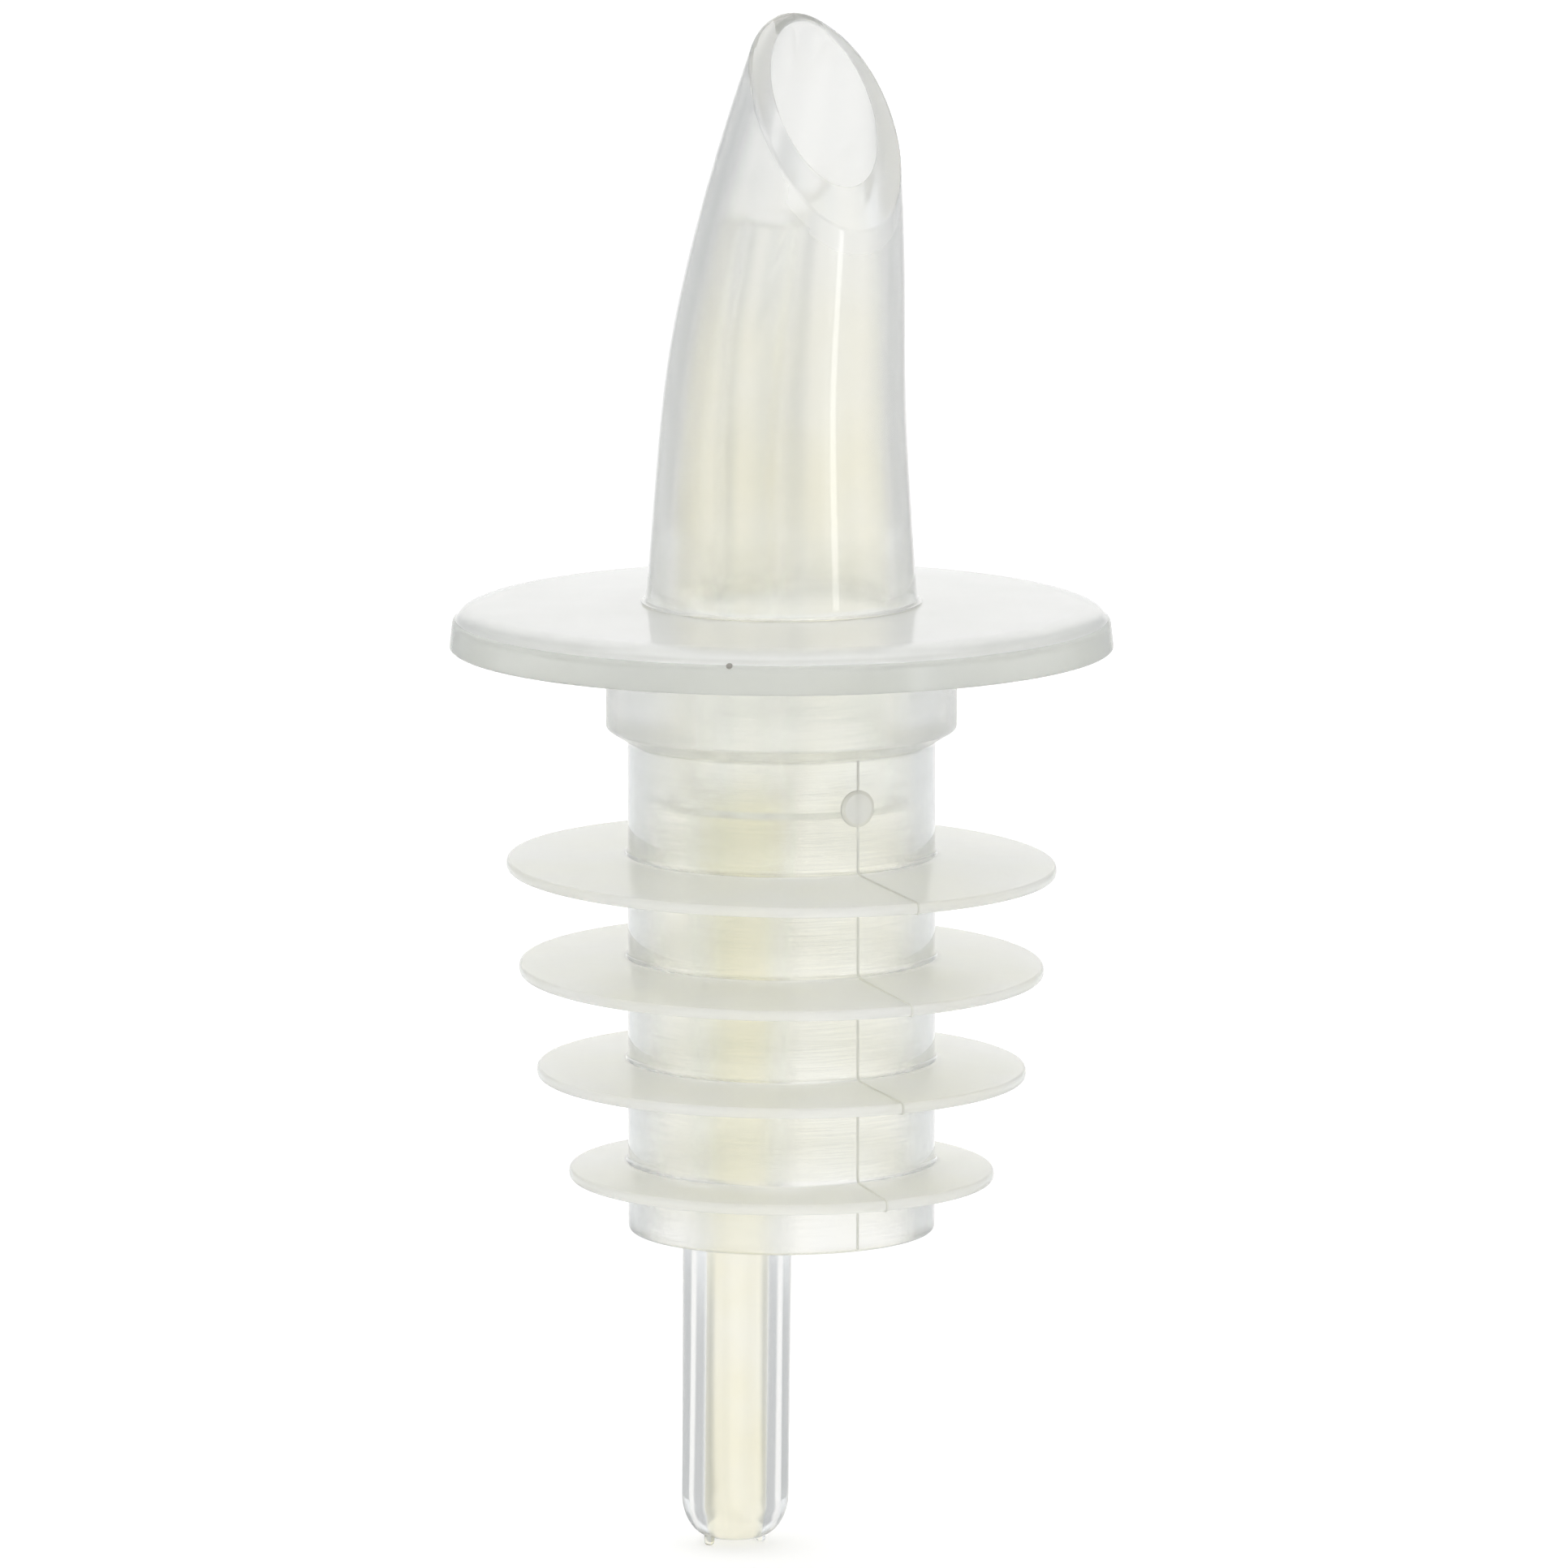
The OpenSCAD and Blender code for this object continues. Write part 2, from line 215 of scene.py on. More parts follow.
class PlasticLook(bpy.types.PropertyGroup):
    """Colours and gloss of the moulded plastics."""

    skin: tint("Skin", "the plastic seen through one wall", (0.994, 0.995, 0.986))
    cloud: tint("Cloud", "its cloudier patches", (0.986, 0.987, 0.975))
    cream: tint("Cream", "the light in the pour passage", (0.96, 0.922, 0.73))
    pale_cream: tint("Pale cream", "its paler patches and of the lower bores", (0.988, 0.972, 0.875))
    # Painted shade: the grey that the beak's skin turns towards one side and up, in place of that side's
    # shade
    painted_shade: tint("Shade", "the beak's thick side", (0.87, 0.875, 0.865))
    frost: tint("Frost", "the collar", (0.925, 0.93, 0.91))
    # Painted shade: the skirt below the collar's shoulder is tinted darker than the lit top
    edge: tint("Edge", "the collar's thick edge", (0.83, 0.84, 0.805))
    pale_skirt_shade: tint("Pale edge", "its paler patches", (0.86, 0.87, 0.84))
    milk: tint("Milky", "the stopper's fins and bore", (0.985, 0.984, 0.935))
    seam: tint("Seam", "the parting line", (0.78, 0.77, 0.72))
    faint_seam: tint("Faint seam", "the parting line below the top fin", (0.88, 0.875, 0.82))
    speck: tint("Speck", "the scorched speck that the gate left", (0.3, 0.29, 0.26))
    rim_clear: clear("Rim", "the mouth's rim", 0.68)
    beak_clear: clear("Beak", "the beak's skin", 0.78)
    bore_clear: clear("Bore", "the sleeve and the bores", 0.995)
    collar_clear: clear("Collar", "the collar", 0.55)
    fin_clear: clear("Fin", "the stopper's fins", 0.4)
    hub_clear: clear("Hub", "the stopper's hub", 0.8)
    wall_clear: clear("Wall", "the stopper's thin wall", 0.985)
    tube_clear: clear("Air tube", "the air tube", 0.92)
    polish: rough("Polish", "the clear coats, the sleeve and the air channel", 0.05)
    gloss: rough("Gloss", "the air tube and the pour passage", 0.1)
    satin: rough("Satin", "the fins, the collar's edge and the stopper's bore", 0.2)
    soft: rough("Soft", "the hazy skins of the beak, the hub and the stopper's wall", 0.25)
    haze: rough("Haze", "the collar under its clear coat", 0.36)
    draw_marks: number("Draw marks", "Strength of the upright draw marks on the beak and the air tube", 0.8)
    wall_marks: number("Wall marks", "Strength of the draw marks on the stopper's wall", 0.4)
    tool_rings: number("Tool rings", "Strength of the fine rings in the stopper's bore", 7)
    fade_start: size("Fade start", "Height where the pour passage's cream starts to fade", 9 * MM)
    fade_end: size("Fade end", "Height where the pour passage's cream is gone", 24 * MM)
    ior: number("Index", "Index of refraction of the plastic", 1.49)


class StageLook(bpy.types.PropertyGroup):
    """Camera and surroundings."""

    view_azimuth: angle("View azimuth", "Direction of the camera round the axis", -37)
    view_height: angle("View height", "Height of the camera above level", 8.99)
    distance: size("Camera distance", "Distance of the camera from its target", 0.8)
    lens: number("Lens", "Focal length of the camera in millimetres", 380.8)
    target_z: FloatProperty(name="Target height", description="Height that the camera looks at",
                            default=-7.72 * MM, unit="LENGTH", precision=5)
    target_side: size("Target shift", "Shift of the target to the camera's right", 0.12 * MM)
    room: share("Room level", "Brightness of the room around the white floor", 0.86)
    card: share("Card level", "Brightness of the grey cards beside the object", 0.54)
    pale_card: share("Pale card level", "Brightness of the cards behind the stopper", 0.98)


def beak_shape(s):
    """The beak's middle line and radii as functions of height above the root."""

    def soft_ramp(x):
        return (sqrt(x * x + s.bend_soft ** 2) + x) / 2

    def spine(h):
        return s.lean * (soft_ramp(max(h, 0) - s.bend_height) - soft_ramp(-s.bend_height))

    def outer_r(h):
        return s.root_d / 2 - s.root_taper * h - s.tip_taper * max(0, h - s.bend_height) ** 2

    return spine, outer_r


def smooth_step(low, high, x):
    """0 below low, 1 above high, with a smooth rise between."""
    t = min(1.0, max(0.0, (x - low) / (high - low)))
    return t * t * (3 - 2 * t)


def spread(start, end, count, first=0):
    """Even steps from start to end, from the first one that is wanted."""
    return [start + (end - start) * i / count for i in range(first, count + 1)]


def circle(x, y, z, r, sides):
    """A level ring of points."""
    return [(x + r * cos(a), y + r * sin(a), z) for a in (tau * i / sides for i in range(sides))]


def bend(a, corner, b, steps, weight=1.0):
    """Points of a curve that rounds a corner; with the sine of half the corner as weight it is an arc."""
    points = []
    for i in range(steps + 1):
        t = i / steps
        pull = 2 * weight * t * (1 - t)
        points.append((a * (1 - t) ** 2 + corner * pull + b * t ** 2) / ((1 - t) ** 2 + pull + t ** 2))
    return points


def rounded_outline(corners, steps=5, support=0.06 * MM):
    """A closed outline of (radius, height, rounding) corners, each rounded and held by nearby points."""
    outline = []
    count = len(corners)
    for i, (x, z, rounding) in enumerate(corners):
        here = Vector((x, z))
        back = Vector(corners[i - 1][:2]) - here
        ahead = Vector(corners[(i + 1) % count][:2]) - here
        reach = min(rounding, back.length * CORNER_SHARE, ahead.length * CORNER_SHARE)
        if reach <= 0:
            outline.append(here)
            continue
        start = here + back.normalized() * reach
        end = here + ahead.normalized() * reach
        held = min(support, back.length * HOLD_SHARE, ahead.length * HOLD_SHARE)
        outline.append(start + back.normalized() * held)
        outline.extend(bend(start, here, end, steps))
        outline.append(end + ahead.normalized() * held)
    return outline


def placed(name, data):
    """A new object in the scene."""
    piece = bpy.data.objects.new(name, data)
    bpy.context.scene.collection.objects.link(piece)
    return piece


def mesh_object(name, points, edges, faces):
    """A new object in the scene with a mesh of its own."""
    mesh = bpy.data.meshes.new(name)
    mesh.from_pydata(points, edges, faces)
    return placed(name, mesh)


def plain_mesh(name, points, faces):
    """A mesh object with outward faces, smooth but for its sharp edges."""
    piece = mesh_object(name, points, [], faces)
    settle_mesh(piece.data)
    return piece


def settle_mesh(mesh):
    """Merges doubles, turns faces outwards and smooths a closed mesh."""
    work = bmesh.new()
    work.from_mesh(mesh)
    bmesh.ops.remove_doubles(work, verts=work.verts, dist=MERGE_DISTANCE)
    bmesh.ops.recalc_face_normals(work, faces=work.faces)
    if work.calc_volume(signed=True) < 0:
        bmesh.ops.reverse_faces(work, faces=work.faces)
    open_edges = [e for e in work.edges if len(e.link_faces) != 2]
    work.to_mesh(mesh)
    work.free()
    if open_edges:
        raise RuntimeError(f"{mesh.name} has {len(open_edges)} edges that aren't closed")
    mesh.shade_smooth()
    mesh.set_sharp_from_angle(angle=SMOOTH_ANGLE)


def take_evaluated(piece):
    """Replaces a piece's mesh by its evaluated one and removes its modifiers."""
    bpy.context.view_layer.update()
    graph = bpy.context.evaluated_depsgraph_get()
    result = bpy.data.meshes.new_from_object(piece.evaluated_get(graph))
    piece.modifiers.clear()
    old = piece.data
    result.name = piece.name
    piece.data = result
    bpy.data.meshes.remove(old)
    settle_mesh(piece.data)


def ring_faces(rings, count, closed):
    """Quads between rings that have the same number of points."""
    faces = []
    for k in range(rings if closed else rings - 1):
        low = k * count
        high = ((k + 1) % rings) * count
        for i in range(count):
            j = (i + 1) % count
            faces.append((low + i, low + j, high + j, high + i))
    return faces


def capped_loft(name, rings):
    """A closed solid through level rings, with a cap at each end."""
    count = len(rings[0])
    faces = ring_faces(len(rings), count, False)
    faces.append(tuple(range(count)))
    last = (len(rings) - 1) * count
    faces.append(tuple(last + i for i in range(count)))
    return plain_mesh(name, [p for ring in rings for p in ring], faces)


def join_solid(piece, other, operation):
    """Adds or cuts one closed solid and removes it."""
    change = piece.modifiers.new(operation.title(), "BOOLEAN")
    change.operation = operation
    change.solver = "EXACT"
    change.object = other
    take_evaluated(piece)
    spare = other.data
    bpy.data.objects.remove(other)
    bpy.data.meshes.remove(spare)


class NodeBench:
    """Adds nodes to a tree and feeds their inputs, so that a tree reads as a list of steps."""

    def __init__(self, tree):
        self.tree = tree

    def feed(self, socket, value):
        """Joins an input to another node's output, or sets it to a plain value."""
        if isinstance(value, bpy.types.NodeSocket):
            self.tree.links.new(value, socket)
        else:
            socket.default_value = value

    def add(self, kind, inputs=None, **settings):
        """A new node with its settings made, and its inputs fed by name or number."""
        node = self.tree.nodes.new(kind)
        for name, value in settings.items():
            setattr(node, name, value)
        for key, value in (inputs or {}).items():
            self.feed(node.inputs[key], value)
        return node

    def out(self, kind, inputs=None, **settings):
        """The first output of a new node."""
        return self.add(kind, inputs, **settings).outputs[0]

    def math(self, operation, *values):
        """A step of arithmetic."""
        return self.out("ShaderNodeMath", dict(enumerate(values)), operation=operation)

    def vector(self, operation, a, b):
        """A step of arithmetic on vectors."""
        return self.out("ShaderNodeVectorMath", {0: a, 1: b}, operation=operation)

    def ramp(self, value, low, high, shape="SMOOTHSTEP"):
        """0 below low, 1 above high, with a rise of this shape between."""
        limits = {"Value": value, "From Min": low, "From Max": high}
        return self.out("ShaderNodeMapRange", limits, interpolation_type=shape)

    def mix(self, share, a, b):
        """A blend of two colours."""
        blend = self.add("ShaderNodeMix", {"Factor": share, "A": a, "B": b}, data_type="RGBA")
        return blend.outputs["Result"]

    def coat(self, geometry, finish):
        """Makes instances real and gives all of it one material."""
        real = self.out("GeometryNodeRealizeInstances", {0: geometry})
        return self.out("GeometryNodeSetMaterial", {"Geometry": real, "Material": finish})


def new_tree(name, kind, inputs, outputs):
    """A node group with these sockets, a bench for it, and the sockets to work from and to."""
    tree = bpy.data.node_groups.new(name, kind)
    for way, sockets in (("INPUT", inputs), ("OUTPUT", outputs)):
        for label, socket in sockets.items():
            tree.interface.new_socket(label, in_out=way, socket_type="NodeSocket" + socket)
    bench = NodeBench(tree)
    return tree, bench, bench.add("NodeGroupInput").outputs, bench.add("NodeGroupOutput").inputs


def turned_tree():
    """Geometry Nodes that turn a closed outline, drawn in radius and height, about an upright axis."""
    name = "Turned piece"
    if name in bpy.data.node_groups:
        return bpy.data.node_groups[name]
    tree, bench, given, result = new_tree(
        name, "GeometryNodeTree",
        {"Outline": "Geometry", "Steps": "Int", "Axis": "Vector", "Finish": "Material"},
        {"Piece": "Geometry"},
    )
    domain = bench.add("GeometryNodeAttributeDomainSize", {0: given["Outline"]}, component="MESH")
    corners = domain.outputs["Point Count"]
    across = bench.math("ADD", given["Steps"], 1)
    rows = bench.math("ADD", corners, 1)
    grid = bench.out("GeometryNodeMeshGrid", {"Vertices X": rows, "Vertices Y": across})
    index = bench.out("GeometryNodeInputIndex")
    along = bench.math("FLOOR", bench.math("DIVIDE", index, across))
    turn = bench.math("SUBTRACT", index, bench.math("MULTIPLY", along, across))
    corner = bench.out("GeometryNodeSampleIndex", {
        "Geometry": given["Outline"],
        "Value": bench.out("GeometryNodeInputPosition"),
        "Index": bench.math("MODULO", along, corners),
    }, data_type="FLOAT_VECTOR", domain="POINT")
    swing = bench.math("DIVIDE", bench.math("MULTIPLY", turn, tau), given["Steps"])
    turned = bench.out("ShaderNodeVectorRotate", {"Vector": corner, "Angle": swing}, rotation_type="Z_AXIS")
    moved = bench.vector("ADD", turned, given["Axis"])
    place = bench.out("GeometryNodeSetPosition", {"Geometry": grid, "Position": moved})
    merge = bench.out("GeometryNodeMergeByDistance", {"Geometry": place, "Distance": MERGE_DISTANCE})
    bench.feed(result["Piece"], bench.coat(merge, given["Finish"]))
    return tree


def seam_tree():
    """Geometry Nodes that run a fine ridge along a path and repeat it on the mould's other half."""
    tree, bench, given, result = new_tree(
        "Mould seam", "GeometryNodeTree",
        {"Path": "Geometry", "Width": "Float", "Angle": "Float", "Halves": "Int", "Finish": "Material"},
        {"Seam": "Geometry"},
    )
    path = bench.out("GeometryNodeMeshToCurve", {0: given["Path"]})
    radius = bench.math("DIVIDE", given["Width"], 2)
    section = bench.out("GeometryNodeCurvePrimitiveCircle", {"Resolution": SEAM_SIDES, "Radius": radius})
    sweep = bench.out("GeometryNodeCurveToMesh", {"Curve": path, "Profile Curve": section, "Fill Caps": True})
    halves = bench.out("GeometryNodeMeshLine", {"Count": given["Halves"], "Offset": (0, 0, 0)})
    index = bench.out("GeometryNodeInputIndex")
    step = bench.math("DIVIDE", bench.math("MULTIPLY", index, tau), given["Halves"])
    spin = bench.out("ShaderNodeCombineXYZ", {"Z": bench.math("ADD", step, given["Angle"])})
    pattern = {"Points": halves, "Instance": sweep, "Rotation": spin}
    copies = bench.out("GeometryNodeInstanceOnPoints", pattern)
    bench.feed(result["Seam"], bench.coat(copies, given["Finish"]))
    return tree


def run_tree(piece, tree, values):
    """Runs a Geometry Nodes tree on a piece with named values and keeps the plain mesh."""
    nodes = piece.modifiers.new(tree.name, "NODES")
    nodes.node_group = tree
    for item in tree.interface.items_tree:
        if item.in_out == "INPUT" and item.name in values:
            nodes[item.identifier] = values[item.name]
    take_evaluated(piece)


def path_object(name, points, closed):
    """An object that holds only a line of points in radius and height."""
    count = len(points)
    edges = [(i, (i + 1) % count) for i in range(count if closed else count - 1)]
    return mesh_object(name, [(p[0], 0, p[1]) for p in points], edges, [])


def turned_piece(name, outline, steps, axis, finish):
    """A piece turned from a closed outline, in so many steps round its axis."""
    piece = path_object(name, outline, True)
    run_tree(piece, turned_tree(), {"Steps": steps, "Axis": axis, "Finish": finish})
    return piece


def button(name, centre, normal, radius, height, finish, sides=24, rows=5):
    """A low round mark on a surface, sunk a little into it."""
    normal = Vector(normal).normalized()
    side = normal.orthogonal().normalized()
    other = normal.cross(side)
    centre = Vector(centre)
    rings = [(radius, -height), (radius, 0)]
    rings += [(radius * cos(a), height * sin(a)) for a in spread(0, pi / 2, rows, 1)[:-1]]
    points = [
        [centre + normal * lift + (side * cos(t) + other * sin(t)) * r
         for t in (tau * i / sides for i in range(sides))]
        for r, lift in rings
    ]
    piece = capped_loft(name, points)
    piece.data.materials.append(finish)
    return piece


def finish_piece(piece, body, node=None):
    """Sets a piece on its body and hides the node that it stands for."""
    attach(piece, body)
    if node:
        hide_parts(node)


def mould_group():
    """Shader group for moulded plastic: cloudy tint that fades, uneven gloss, marks, rings and grain."""
    name = "Moulded surface"
    if name in bpy.data.node_groups:
        return bpy.data.node_groups[name]
    tree, bench, given, result = new_tree(
        name, "ShaderNodeTree",
        {
            "Tint": "Color", "Cloud Tint": "Color", "Cloud Scale": "Float", "Gloss": "Float",
            "Gloss Spread": "Float", "Grain Scale": "Float", "Draw Marks": "Float", "Tool Rings": "Float",
            "Fade Tint": "Color", "Fade Direction": "Vector", "Fade Start": "Float", "Fade End": "Float",
        },
        {"Color": "Color", "Roughness": "Float", "Height": "Float"},
    )
    place = bench.add("ShaderNodeTexCoord").outputs["Object"]

    def noise(scale, detail, vector=place):
        pattern = {"Vector": vector, "Scale": scale, "Detail": detail}
        return bench.add("ShaderNodeTexNoise", pattern).outputs["Fac"]

    def stretched(scale, stretch, amount):
        return bench.math("MULTIPLY", noise(scale, 2, bench.vector("MULTIPLY", place, stretch)), amount)

    clouds = bench.ramp(noise(given["Cloud Scale"], 3), *CLOUD_EDGES, "LINEAR")
    cloudy = bench.mix(clouds, given["Tint"], given["Cloud Tint"])
    reach = bench.add("ShaderNodeVectorMath", {0: place, 1: given["Fade Direction"]}, operation="DOT_PRODUCT")
    fade = bench.ramp(reach.outputs["Value"], given["Fade Start"], given["Fade End"])
    bench.feed(result["Color"], bench.mix(fade, cloudy, given["Fade Tint"]))
    uneven = bench.math("MULTIPLY", bench.math("SUBTRACT", noise(GLOSS_SCALE, 3), 0.5), given["Gloss Spread"])
    bench.feed(result["Roughness"], bench.math("ADD", given["Gloss"], uneven))
    marks = stretched(MARK_SCALE, MARK_STRETCH, given["Draw Marks"])
    rings = stretched(RING_SCALE, RING_STRETCH, given["Tool Rings"])
    grain = noise(given["Grain Scale"], 2)
    bench.feed(result["Height"], bench.math("ADD", grain, bench.math("ADD", marks, rings)))
    return tree


def plastic(name, look, tint_a, tint_b, clearness, roughness, marks=0, rings=0, coat=0, fade=None):
    """A clear or milky moulded plastic."""
    material = bpy.data.materials.new(name)
    material.use_nodes = True
    bench = NodeBench(material.node_tree)
    fade_tint, direction, start, end = fade or (tint_a, *NO_FADE)
    surface = bench.add("ShaderNodeGroup", {
        "Tint": (*tint_a, 1),
        "Cloud Tint": (*tint_b, 1),
        "Cloud Scale": CLOUD_SCALE,
        "Gloss": roughness,
        "Gloss Spread": roughness * GLOSS_SPREAD,
        "Grain Scale": GRAIN_SCALE,
        "Draw Marks": marks,
        "Tool Rings": rings,
        "Fade Tint": (*fade_tint, 1),
        "Fade Direction": direction,
        "Fade Start": start,
        "Fade End": end,
    }, node_tree=mould_group()).outputs
    relief = {"Strength": BUMP_STRENGTH, "Distance": BUMP_HEIGHT, "Height": surface["Height"]}
    shader = material.node_tree.nodes["Principled BSDF"]
    for label, value in {
        "Base Color": surface["Color"],
        "Roughness": surface["Roughness"],
        "Normal": bench.out("ShaderNodeBump", relief),
        "Transmission Weight": clearness,
        "IOR": look.ior,
        "Coat Weight": coat,
        "Coat Roughness": look.polish,
        "Coat IOR": look.ior,
    }.items():
        bench.feed(shader.inputs[label], value)
    return material


def plastics(look):
    """The plastics of the pieces, made once."""
    finishes = {}

    def make(name, *basics, **extras):
        full_name = name + " plastic"
        finishes[name] = bpy.data.materials.get(full_name) or plastic(full_name, look, *basics, **extras)

    # Painted shade: the beak's skin fades to a grey tint towards one side and up
    painted_shade_side = (look.painted_shade, *PAINTED_SHADE_SIDE)
    to_mouth = (look.skin, (0, 0, 1), look.fade_start, look.fade_end)
    make("Beak", look.skin, look.cloud, look.beak_clear, look.soft,
         marks=look.draw_marks, coat=1, fade=painted_shade_side)
    make("Rim", look.skin, look.cloud, look.rim_clear, look.soft, coat=1)
    make("Bore", look.cream, look.pale_cream, look.bore_clear, look.gloss, fade=to_mouth)
    make("Sleeve", look.skin, look.cloud, look.bore_clear, look.polish)
    make("Collar", look.frost, look.cloud, look.collar_clear, look.haze, coat=1)
    # Painted shade on the collar's skirt, darker than its top
    make("Collar edge", look.edge, look.pale_skirt_shade, look.collar_clear, look.satin)
    make("Stopper", look.milk, look.cloud, look.fin_clear, look.satin)
    make("Hub", look.skin, look.cloud, look.hub_clear, look.soft)
    make("Stopper wall", look.skin, look.cloud, look.wall_clear, look.soft, marks=look.wall_marks, coat=1)
    make("Stopper bore", look.milk, look.pale_cream, look.bore_clear, look.satin, rings=look.tool_rings)
    make("Air tube", look.skin, look.cloud, look.tube_clear, look.gloss, marks=look.draw_marks)
    make("Air tube bore", look.pale_cream, look.cream, look.bore_clear, look.gloss)
    make("Seam", look.seam, look.milk, look.fin_clear, look.satin)
    make("Faint seam", look.faint_seam, look.milk, look.fin_clear, look.satin)
    make("Speck", look.speck, look.speck, 0, look.satin)
    return finishes


def wear(piece, finish, *others):
    """Gives a piece one finish, and others to the faces that the test beside each of them chooses."""
    materials = piece.data.materials
    materials.clear()
    for each in (finish, *(other for other, _ in others)):
        materials.append(each)
    for face in piece.data.polygons:
        face.material_index = next((i for i, (_, chosen) in enumerate(others, 1) if chosen(face)), 0)


class POURSPOUT_OT_spout(bpy.types.Operator):
    """Make the beak with its mouth, pour passage, air channel, sleeve and nipple"""

    bl_idname = "pour_spout.spout"
    bl_label = "Make Spout"

    # Columns of points round the beak, in degrees, and rows along each part of its wall
    COLUMN = 2.5
    SLEEVE_ROWS = (0.2, 0.5, 0.9, 1)
    FOOT_ROWS = 8
    OUTER_ROWS = 72
    RIM_ROWS = 12
    RIM_FLAT_ROWS = (0.3, 0.7)
    BORE_EDGE_ROWS = 4
    MOUTH_ROWS = 24
    PASSAGE_ROWS = 60
    CHANNEL_ROWS = 40
    SIDES = 48
    HALVINGS = 50
    # Degrees from the back between which the air channel's housing passes into the round bore
    FLANK_START = 43
    FLANK_END = 51
    # How far the skin stays inside the solid, so that nothing passes its box
    SKIN = 0.03 * MM
    FOOT_SPREAD = 0.2 * MM
    FOOT_EDGE = 0.1 * MM
    # First and last angle, in degrees, of the hollow above the foot
    FOOT_TURN = (265, 180)
    # Largest shares of the rim's width that its outer and inner rounding take
    RIM_SHARE = 0.8
    BORE_SHARE = 0.1
    # A face counts as rim if it lies this near to facing the way the mouth does, as a cosine
    RIM_FACING = 0.6
    # Faces that lie this deep under the skin belong to the bore
    BORE_DEPTH = 0.9 * MM
    SLEEVE_WALL = 1 * MM
    SLEEVE_LEAD = 0.4 * MM
    NIPPLE_LENGTH = 5 * MM
    NIPPLE_LEAD = 0.3 * MM
    NIPPLE_OVERLAP = 0.5 * MM
    # How many times the beak's lean the air channel leans, and how it ends above and below
    AIR_LEAN = 1.5
    VENT_STEP = 0.2 * MM
    VENT_RISE = 2.4 * MM
    CHANNEL_DROP = 6 * MM
    # The mouth's level is looked for below this height
    LOFT_TOP = 29.6 * MM

    def execute(self, context):
        self.s = context.scene.pour_spout_sizes
        self.spine, self.outer_r = beak_shape(self.s)
        finishes = plastics(context.scene.pour_spout_look)
        bottom = TUBE_HIGH.z
        turns = {self.COLUMN * i for i in range(round(360 / self.COLUMN))}
        for i in range(self.FLANK_START - 1, self.FLANK_END + 2):
            turns |= {180.0 + i, 180.0 - i}
        columns = [self.foot_line(degrees, bottom) + self.beak_line(degrees, bottom)
                   for degrees in sorted(turns)]
        rings = list(zip(*columns))
        points = [p for ring in rings for p in ring]
        piece = plain_mesh("spout_shell", points, ring_faces(len(rings), len(columns), True))
        join_solid(piece, self.nipple(bottom), "UNION")
        join_solid(piece, self.air_channel(), "DIFFERENCE")
        wear(piece, finishes["Beak"], (finishes["Sleeve"], self.is_clear),
             (finishes["Rim"], self.in_rim), (finishes["Bore"], self.in_bore))
        finish_piece(piece, "spout", "spout")
        return {"FINISHED"}

    def in_bore(self, face):
        """Whether a face lies inside the beak's wall."""
        x, y, z = face.center
        return hypot(x - self.spine(z - CROWN), y) < self.outer_r(z - CROWN) - self.BORE_DEPTH

    def is_clear(self, face):
        """Whether a face belongs to the sleeve or to the air channel."""
        x, y, z = face.center
        return z < CROWN or hypot(x - self.air_x(z - CROWN), y) < self.s.air_bore_d / 2 + self.SKIN

    def in_rim(self, face):
        """Whether a face lies on the mouth's rim."""
        s = self.s
        outward = Vector((sin(s.mouth_angle), 0, cos(s.mouth_angle)))
        middle = Vector((s.mouth_reach, 0, CROWN + s.mouth_height))
        near = (face.center - middle).dot(outward) > -s.rim_round
        return near and face.normal.dot(outward) > self.RIM_FACING

    def air_x(self, h):
        """Where the air channel's middle is."""
        return self.AIR_LEAN * self.spine(h) - self.s.air_offset

    def bore_r(self, h):
        """Radius of the round bore."""
        return min(SLEEVE_R - self.SLEEVE_WALL, self.outer_r(max(h, 0)) - self.s.beak_wall)

    def passage_r(self, h, degrees, walled):
        """Radius of the pour passage: round, but for the housing of the air channel along its back."""
        if not walled:
            return self.bore_r(h)
        back = radians(abs(180 - degrees))
        middle = self.spine(h) - self.air_x(h)
        housing = self.s.air_bore_d / 2 + self.s.partition
        across = middle * sin(back)
        face = middle * cos(back) - sqrt(max(0, housing ** 2 - across ** 2))
        part = 1 - smooth_step(self.FLANK_START, self.FLANK_END, abs(180 - degrees))
        return self.bore_r(h) * (1 - part) + face * part

    def at(self, h, degrees, r):
        """A point at a height, round the beak's middle line."""
        a = radians(degrees)
        return Vector((self.spine(h) + r * cos(a), r * sin(a), CROWN + h))

    def outer(self, h, degrees):
        return self.at(h, degrees, self.outer_r(h) - self.SKIN)

    def inner(self, h, degrees, walled):
        return self.at(h, degrees, self.passage_r(h, degrees, walled))

    def mouth_level(self, surface, rise):
        """Height at which a surface line meets the mouth's plane, found by halving."""
        s = self.s
        low, high = s.bend_height, self.LOFT_TOP
        for _ in range(self.HALVINGS):
            h = (low + high) / 2
            ahead = (surface(h).x - s.mouth_reach) * sin(s.mouth_angle)
            above = (h - s.mouth_height - rise) * cos(s.mouth_angle)
            low, high = (low, h) if ahead + above > 0 else (h, high)
        return (low + high) / 2

